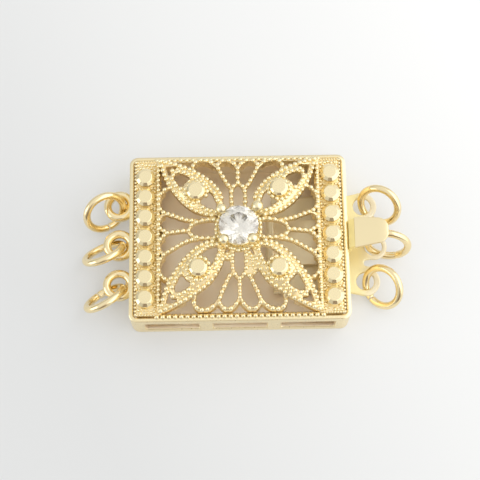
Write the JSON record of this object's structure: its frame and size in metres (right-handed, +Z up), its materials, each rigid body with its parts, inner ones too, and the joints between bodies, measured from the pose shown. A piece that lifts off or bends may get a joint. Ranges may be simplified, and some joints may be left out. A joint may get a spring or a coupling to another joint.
{
  "type": "multi-strand box clasp",
  "caption": "Gold-plated box clasp for a multi-strand necklace or bracelet: pierced domed top with a round clear stone, folded spring tongue with thumb tab, eyes and jump rings.",
  "frame": {"origin": "centre of the box's flat underside, where the clasp lies", "axes": "+X along the box towards the tongue and its thumb tab, +Y along the line of the strands, +Z up through the stone"},
  "size_m": [0.035, 0.0182, 0.0093],
  "materials": {
    "gold_box": "polished light gold plating",
    "gold_filigree": "bright cast gold plating with beaded ribs",
    "crystal": "clear, brilliant cut",
    "gold_tongue": "smooth gold plating",
    "gold_ring": "polished gold plating"
  },
  "bodies": {
    "case": {"box_body": "gold_box", "filigree_top": "gold_filigree", "crystal": "crystal", "ring_left_1": "gold_ring", "ring_left_2": "gold_ring", "ring_left_3": "gold_ring"},
    "tongue": {"tongue_plate": "gold_tongue", "ring_right_1": "gold_ring", "ring_right_2": "gold_ring", "ring_right_3": "gold_ring"},
    "leaf": {"press_leaf": "gold_tongue"}
  },
  "joints": [
    {"name": "tongue_slide", "type": "slide", "parent": "case", "child": "tongue", "axis": [1, 0, 0], "range_m": [0, 0.0089]},
    {"name": "leaf_press", "type": "hinge", "parent": "tongue", "child": "leaf", "pos_m": [0.0036, 0, 0.00172], "axis": [0, 1, 0], "range_deg": [0, 3], "stiffness_Nm_per_rad": 0.02}
  ]
}
